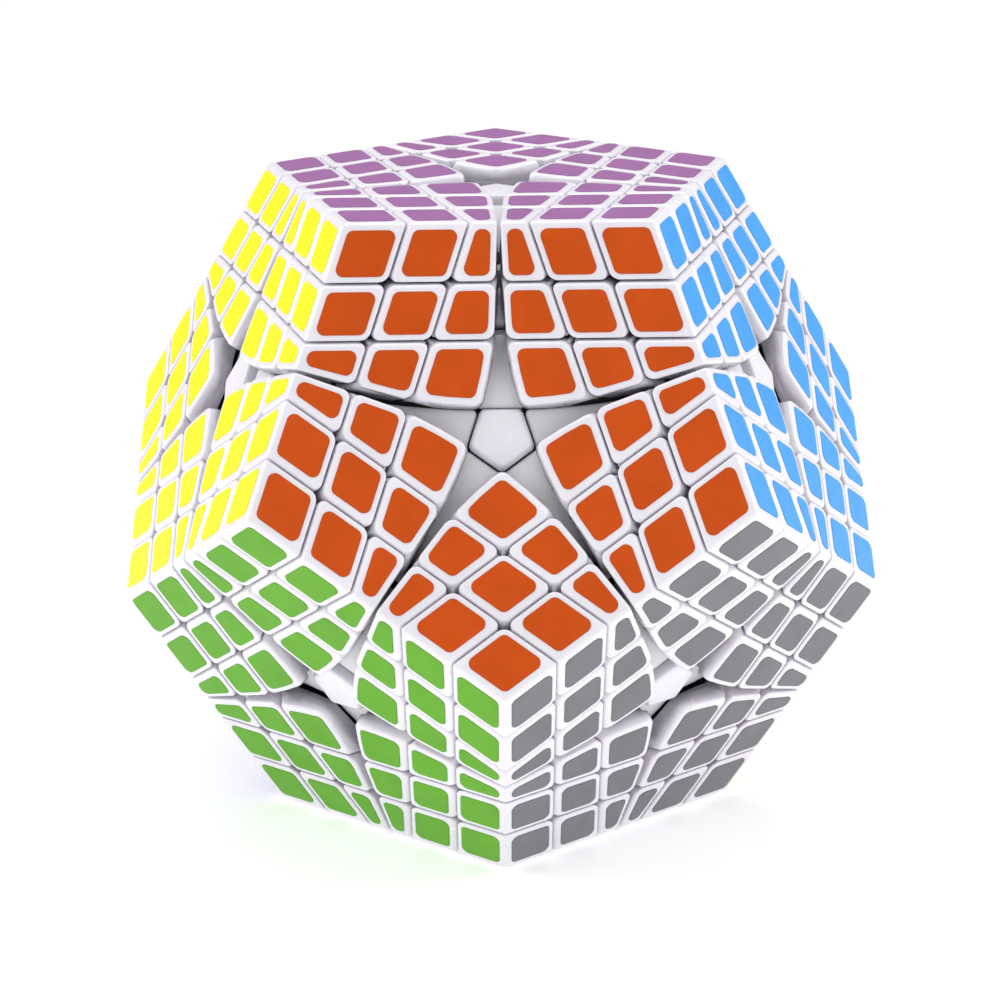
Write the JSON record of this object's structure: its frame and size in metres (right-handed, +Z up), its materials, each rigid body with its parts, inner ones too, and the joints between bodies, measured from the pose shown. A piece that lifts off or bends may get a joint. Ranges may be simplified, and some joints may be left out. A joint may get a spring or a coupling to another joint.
{
  "type": "dodecahedron twisty puzzle",
  "caption": "Twelve-faced twisty puzzle in white plastic with coloured faces: layered corner blocks round star-shaped recesses; top and bottom layers turn.",
  "frame": {"origin": "on the surface the puzzle stands on, under the middle of its bottom face", "axes": "+Z up, through the middles of the top and bottom faces; -Y to the front, where one upper side face looks forward"},
  "size_m": [0.1362, 0.1432, 0.1158],
  "materials": {
    "cubie_plastic": "moulded, gloss",
    "cap_plastic": "moulded, gloss",
    "inner_plastic": "moulded, gloss",
    "purple_sticker": "vinyl film, satin gloss",
    "orange_sticker": "vinyl film, satin gloss",
    "light_blue_sticker": "vinyl film, satin gloss",
    "dark_green_sticker": "vinyl film, satin gloss",
    "white_sticker": "vinyl film, satin gloss",
    "yellow_sticker": "vinyl film, satin gloss",
    "grey_sticker": "vinyl film, satin gloss",
    "cream_sticker": "vinyl film, satin gloss",
    "red_sticker": "vinyl film, satin gloss",
    "dark_blue_sticker": "vinyl film, satin gloss",
    "lime_sticker": "vinyl film, satin gloss",
    "pink_sticker": "vinyl film, satin gloss"
  },
  "bodies": {
    "middle": {"core": "inner_plastic", "upper_side_corner_1": "cubie_plastic", "upper_side_corner_2": "cubie_plastic", "upper_side_corner_3": "cubie_plastic", "upper_side_corner_4": "cubie_plastic", "upper_side_corner_5": "cubie_plastic", "lower_side_corner_1": "cubie_plastic", "lower_side_corner_2": "cubie_plastic", "lower_side_corner_3": "cubie_plastic", "lower_side_corner_4": "cubie_plastic", "lower_side_corner_5": "cubie_plastic", "upper_side_cap_1": "cap_plastic", "upper_side_cap_2": "cap_plastic", "upper_side_cap_3": "cap_plastic", "upper_side_cap_4": "cap_plastic", "upper_side_cap_5": "cap_plastic", "lower_side_cap_1": "cap_plastic", "lower_side_cap_2": "cap_plastic", "lower_side_cap_3": "cap_plastic", "lower_side_cap_4": "cap_plastic", "lower_side_cap_5": "cap_plastic"},
    "top_inner_layer": {"top_inner_corner_1": "cubie_plastic", "top_inner_corner_2": "cubie_plastic", "top_inner_corner_3": "cubie_plastic", "top_inner_corner_4": "cubie_plastic", "top_inner_corner_5": "cubie_plastic", "top_inner_hub": "inner_plastic"},
    "top_middle_layer": {"top_middle_corner_1": "cubie_plastic", "top_middle_corner_2": "cubie_plastic", "top_middle_corner_3": "cubie_plastic", "top_middle_corner_4": "cubie_plastic", "top_middle_corner_5": "cubie_plastic", "top_middle_hub": "inner_plastic"},
    "top_outer_layer": {"top_outer_corner_1": "cubie_plastic", "top_outer_corner_2": "cubie_plastic", "top_outer_corner_3": "cubie_plastic", "top_outer_corner_4": "cubie_plastic", "top_outer_corner_5": "cubie_plastic", "top_outer_hub": "inner_plastic", "top_cap": "cap_plastic"},
    "bottom_inner_layer": {"bottom_inner_corner_1": "cubie_plastic", "bottom_inner_corner_2": "cubie_plastic", "bottom_inner_corner_3": "cubie_plastic", "bottom_inner_corner_4": "cubie_plastic", "bottom_inner_corner_5": "cubie_plastic", "bottom_inner_hub": "inner_plastic"},
    "bottom_middle_layer": {"bottom_middle_corner_1": "cubie_plastic", "bottom_middle_corner_2": "cubie_plastic", "bottom_middle_corner_3": "cubie_plastic", "bottom_middle_corner_4": "cubie_plastic", "bottom_middle_corner_5": "cubie_plastic", "bottom_middle_hub": "inner_plastic"},
    "bottom_outer_layer": {"bottom_outer_corner_1": "cubie_plastic", "bottom_outer_corner_2": "cubie_plastic", "bottom_outer_corner_3": "cubie_plastic", "bottom_outer_corner_4": "cubie_plastic", "bottom_outer_corner_5": "cubie_plastic", "bottom_outer_hub": "inner_plastic", "bottom_cap": "cap_plastic"}
  },
  "joints": [
    {"name": "top_three_layer_turn", "type": "hinge", "parent": "middle", "child": "top_inner_layer", "pos_m": [0, 0, 0.0579], "axis": [0, 0, 1], "continuous": true},
    {"name": "top_two_layer_turn", "type": "hinge", "parent": "top_inner_layer", "child": "top_middle_layer", "pos_m": [0, 0, 0.0579], "axis": [0, 0, 1], "continuous": true},
    {"name": "top_outer_layer_turn", "type": "hinge", "parent": "top_middle_layer", "child": "top_outer_layer", "pos_m": [0, 0, 0.0579], "axis": [0, 0, 1], "continuous": true},
    {"name": "bottom_three_layer_turn", "type": "hinge", "parent": "middle", "child": "bottom_inner_layer", "pos_m": [0, 0, 0.0579], "axis": [0, 0, -1], "continuous": true},
    {"name": "bottom_two_layer_turn", "type": "hinge", "parent": "bottom_inner_layer", "child": "bottom_middle_layer", "pos_m": [0, 0, 0.0579], "axis": [0, 0, -1], "continuous": true},
    {"name": "bottom_outer_layer_turn", "type": "hinge", "parent": "bottom_middle_layer", "child": "bottom_outer_layer", "pos_m": [0, 0, 0.0579], "axis": [0, 0, -1], "continuous": true}
  ]
}
